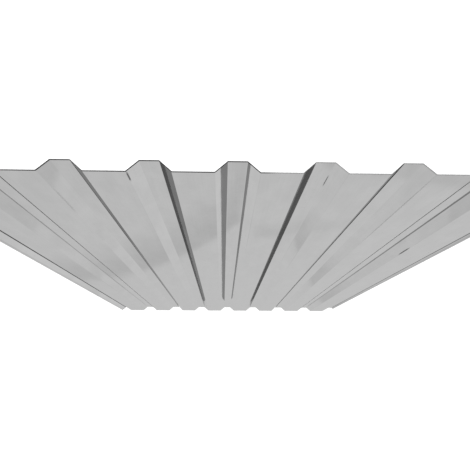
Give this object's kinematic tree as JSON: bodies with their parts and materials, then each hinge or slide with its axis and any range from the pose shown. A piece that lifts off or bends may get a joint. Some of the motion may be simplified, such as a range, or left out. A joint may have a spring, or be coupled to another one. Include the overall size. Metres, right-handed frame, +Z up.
{
  "type": "corrugated metal sheet",
  "caption": "Galvanised steel sheet rolled into wide flat crowns and narrow valleys with sloping webs, with a short lip on one long edge and a full lip on the other, for cladding a wall or roof",
  "frame": {"origin": "bottom centre of the sheet's box, on the plane of the undersides of the valleys that it lies on", "axes": "+Y along the ribs, +X across the ribs towards the edge with the full lip, +Z up out of the crowns"},
  "size_m": [1.1336, 2, 0.0187],
  "materials": {
    "galvanised_steel": "smooth galvanised, satin"
  },
  "bodies": {
    "root": {"sheet": "galvanised_steel"}
  },
  "joints": []
}
